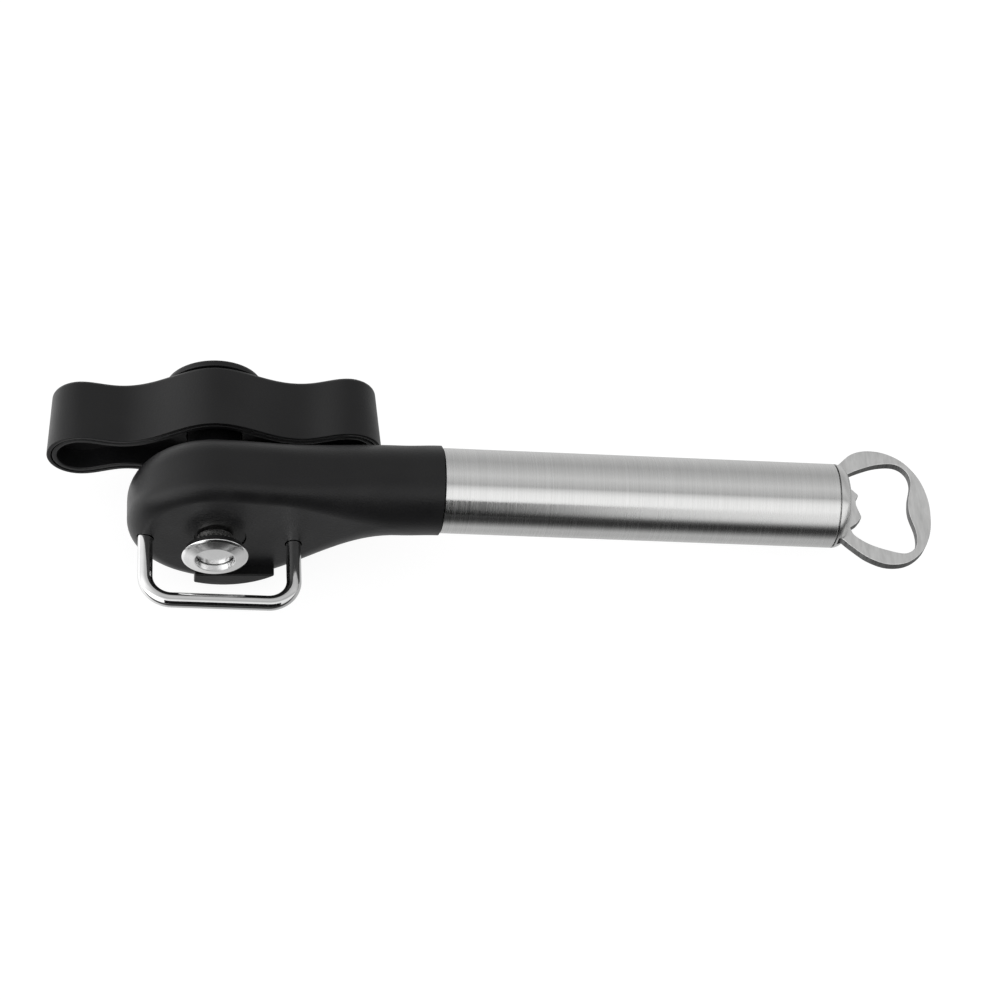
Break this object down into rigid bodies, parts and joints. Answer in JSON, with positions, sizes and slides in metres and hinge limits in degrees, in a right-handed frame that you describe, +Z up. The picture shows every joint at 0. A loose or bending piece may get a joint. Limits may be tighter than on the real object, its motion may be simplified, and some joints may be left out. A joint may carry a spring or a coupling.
{
  "type": "manual can opener",
  "caption": "Hand-cranked can opener: black turning knob and round head with a cutting wheel and wire bail, brushed tube handle, flat bottle opener at its end.",
  "frame": {"origin": "middle of the tool's footprint on the table it lies on: bounding box centre in X and Y, lowest point in Z", "axes": "+X along the handle from the head to the bottle opener, +Y along the spindle from the cutting disc up to the turning knob, +Z up from the table; the tool rests on its round head and the end of the handle"},
  "size_m": [0.2146, 0.0616, 0.0424],
  "materials": {
    "black_plastic": "satin moulded black plastic",
    "cap_plastic": "satin black plastic",
    "brushed_tube": "stainless steel, finely brushed round the tube",
    "opener_steel": "satin stainless steel",
    "wheel_steel": "machined steel",
    "screw_steel": "bright plated steel",
    "polished_disc": "polished steel",
    "chromed_wire": "chromed steel wire",
    "bush_acetal": "machined black acetal",
    "nylon": "natural nylon"
  },
  "bodies": {
    "housing": {"head_housing": "black_plastic", "head_cover": "black_plastic", "cover_screw_1": "screw_steel", "cover_screw_2": "screw_steel", "cover_screw_3": "screw_steel", "roller_stud": "wheel_steel", "stop_pin": "screw_steel", "bush_spring": "screw_steel", "guide_bail": "chromed_wire", "handle_tube": "brushed_tube", "tube_end_cap": "brushed_tube", "bottle_opener": "opener_steel", "tang_plug": "nylon", "tang_pin": "screw_steel"},
    "clamp": {"eccentric_bush": "bush_acetal"},
    "drive": {"drive_shaft": "wheel_steel", "feed_wheel": "wheel_steel", "wheel_spacer": "wheel_steel", "retaining_rivet": "polished_disc", "thrust_washer": "screw_steel", "knob_body": "black_plastic", "knob_liner": "black_plastic", "knob_washer": "screw_steel", "knob_screw": "screw_steel", "knob_cap": "cap_plastic"},
    "cutter": {"cutting_disc": "polished_disc"},
    "roller": {"counter_roller": "wheel_steel"}
  },
  "joints": [
    {"name": "clamp_turn", "type": "hinge", "parent": "housing", "child": "clamp", "pos_m": [-0.06569, -0.00165, 0.02169], "axis": [0, -1, 0], "range_deg": [0, 90]},
    {"name": "spindle_spin", "type": "hinge", "parent": "clamp", "child": "drive", "pos_m": [-0.06698, -0.00165, 0.02185], "axis": [0, 1, 0], "continuous": true},
    {"name": "disc_spin", "type": "hinge", "parent": "drive", "child": "cutter", "pos_m": [-0.06698, -0.01735, 0.02185], "axis": [0, 1, 0], "continuous": true},
    {"name": "roller_spin", "type": "hinge", "parent": "housing", "child": "roller", "pos_m": [-0.06692, -0.01365, 0.01226], "axis": [0, 1, 0], "continuous": true}
  ]
}
